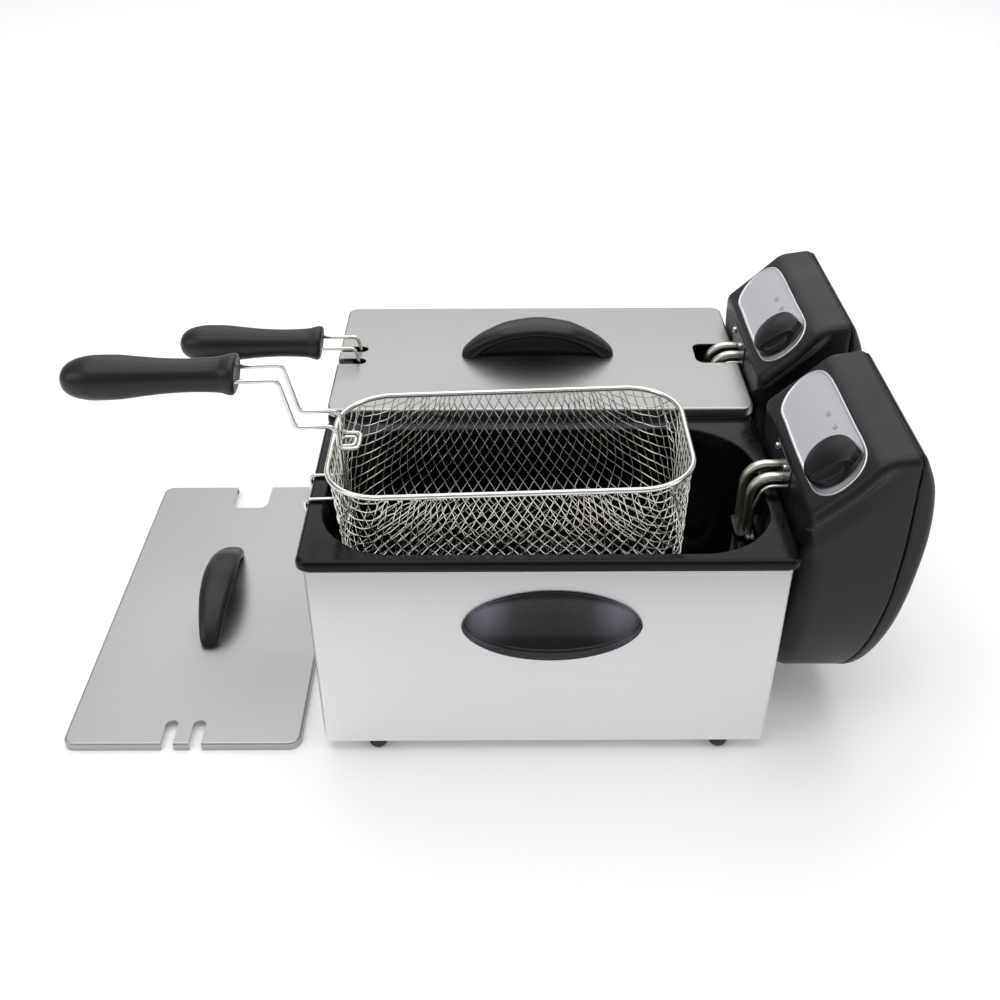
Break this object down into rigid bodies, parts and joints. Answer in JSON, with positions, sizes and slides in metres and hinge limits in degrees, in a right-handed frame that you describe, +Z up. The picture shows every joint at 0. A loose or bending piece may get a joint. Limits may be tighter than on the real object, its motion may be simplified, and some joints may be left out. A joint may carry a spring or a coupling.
{
  "type": "deep fryer",
  "caption": "Deep fryer with side-by-side oil tanks in a brushed steel cabinet, lift-out control heads with immersion elements, wire baskets and flat lids.",
  "frame": {"origin": "on the floor, under the middle of the box around the whole set (cabinet, heads, handles and the lid laid beside it)", "axes": "+Z up, +X towards the control heads along the long side of each tank, +Y from the front tank to the rear tank"},
  "size_m": [0.5483, 0.3256, 0.2576],
  "materials": {
    "brushed_stainless": "brushed, light grey",
    "brushed_lid": "brushed along the long side",
    "zinc_plate": "plain plated",
    "foot_rubber": "matt",
    "steel_screw": "polished",
    "cup_plastic": "satin",
    "black_enamel": "gloss enamel",
    "head_plastic": "satin",
    "fascia_silver": "satin silver",
    "lamp_lens": "clear smoked",
    "inner_plastic": "plain",
    "polished_plate": "polished",
    "element_sheath": "smooth bright sheath",
    "knob_plastic": "satin",
    "basket_wire": "bright plated",
    "grip_plastic": "satin"
  },
  "bodies": {
    "cabinet": {"housing": "brushed_stainless", "base_plate": "zinc_plate", "feet": "foot_rubber", "foot_screws": "steel_screw", "centre_bar": "zinc_plate", "front_grip_cup": "cup_plastic", "rear_grip_cup": "cup_plastic", "head_rails": "zinc_plate"},
    "front_tank": {"front_tank": "black_enamel"},
    "front_head": {"front_shell": "head_plastic", "front_back_cover": "head_plastic", "front_cover_screws": "steel_screw", "front_cord_gland": "head_plastic", "front_fascia": "fascia_silver", "front_lamps": "lamp_lens", "front_thermostat": "inner_plastic", "front_element_plate": "polished_plate", "front_plate_screws": "steel_screw", "front_element_risers": "element_sheath", "front_element_coil": "element_sheath", "front_feeler": "element_sheath", "front_tube_clip": "polished_plate", "front_safety_switch": "inner_plastic"},
    "front_knob": {"front_knob": "knob_plastic", "front_knob_shaft": "zinc_plate"},
    "front_basket": {"front_basket_rim": "basket_wire", "front_basket_mesh": "basket_wire", "front_basket_hooks": "basket_wire", "front_basket_bracket": "basket_wire", "front_handle_wire": "basket_wire", "front_handle_grip": "grip_plastic"},
    "front_lid": {"front_lid_panel": "brushed_lid", "front_lid_handle": "grip_plastic", "front_lid_screws": "steel_screw"},
    "rear_tank": {"rear_tank": "black_enamel"},
    "rear_head": {"rear_shell": "head_plastic", "rear_back_cover": "head_plastic", "rear_cover_screws": "steel_screw", "rear_cord_gland": "head_plastic", "rear_fascia": "fascia_silver", "rear_lamps": "lamp_lens", "rear_thermostat": "inner_plastic", "rear_element_plate": "polished_plate", "rear_plate_screws": "steel_screw", "rear_element_risers": "element_sheath", "rear_element_coil": "element_sheath", "rear_feeler": "element_sheath", "rear_tube_clip": "polished_plate", "rear_safety_switch": "inner_plastic"},
    "rear_knob": {"rear_knob": "knob_plastic", "rear_knob_shaft": "zinc_plate"},
    "rear_basket": {"rear_basket_rim": "basket_wire", "rear_basket_mesh": "basket_wire", "rear_basket_hooks": "basket_wire", "rear_basket_bracket": "basket_wire", "rear_handle_wire": "basket_wire", "rear_handle_grip": "grip_plastic"},
    "rear_lid": {"rear_lid_panel": "brushed_lid", "rear_lid_handle": "grip_plastic", "rear_lid_screws": "steel_screw"}
  },
  "joints": [
    {"name": "front_tank_lift", "type": "slide", "parent": "cabinet", "child": "front_tank", "axis": [0, 0, 1], "range_m": [0, 0.16]},
    {"name": "front_head_lift", "type": "slide", "parent": "front_tank", "child": "front_head", "axis": [0, 0, 1], "range_m": [0, 0.18]},
    {"name": "front_knob_turn", "type": "hinge", "parent": "front_head", "child": "front_knob", "pos_m": [0.21644, -0.125, 0.20487], "axis": [-0.6858, 0, 0.7278], "range_deg": [0, 270]},
    {"name": "front_basket_lift", "type": "slide", "parent": "front_head", "child": "front_basket", "axis": [0, 0, 1], "range_m": [0, 0.2]},
    {"name": "rear_tank_lift", "type": "slide", "parent": "cabinet", "child": "rear_tank", "axis": [0, 0, 1], "range_m": [0, 0.16]},
    {"name": "rear_head_lift", "type": "slide", "parent": "rear_tank", "child": "rear_head", "axis": [0, 0, 1], "range_m": [0, 0.18]},
    {"name": "rear_knob_turn", "type": "hinge", "parent": "rear_head", "child": "rear_knob", "pos_m": [0.21644, 0.0363, 0.20487], "axis": [-0.6858, 0, 0.7278], "range_deg": [0, 270]},
    {"name": "rear_basket_lift", "type": "slide", "parent": "rear_head", "child": "rear_basket", "axis": [0, 0, 1], "range_m": [0, 0.2]},
    {"name": "rear_lid_lift", "type": "slide", "parent": "rear_basket", "child": "rear_lid", "axis": [0, 0, 1], "range_m": [0, 0.2]},
    {"name": "front_lid_lift", "type": "slide", "parent": "cabinet", "child": "front_lid", "axis": [0, 0, 1], "range_m": [0, 0.12]}
  ]
}
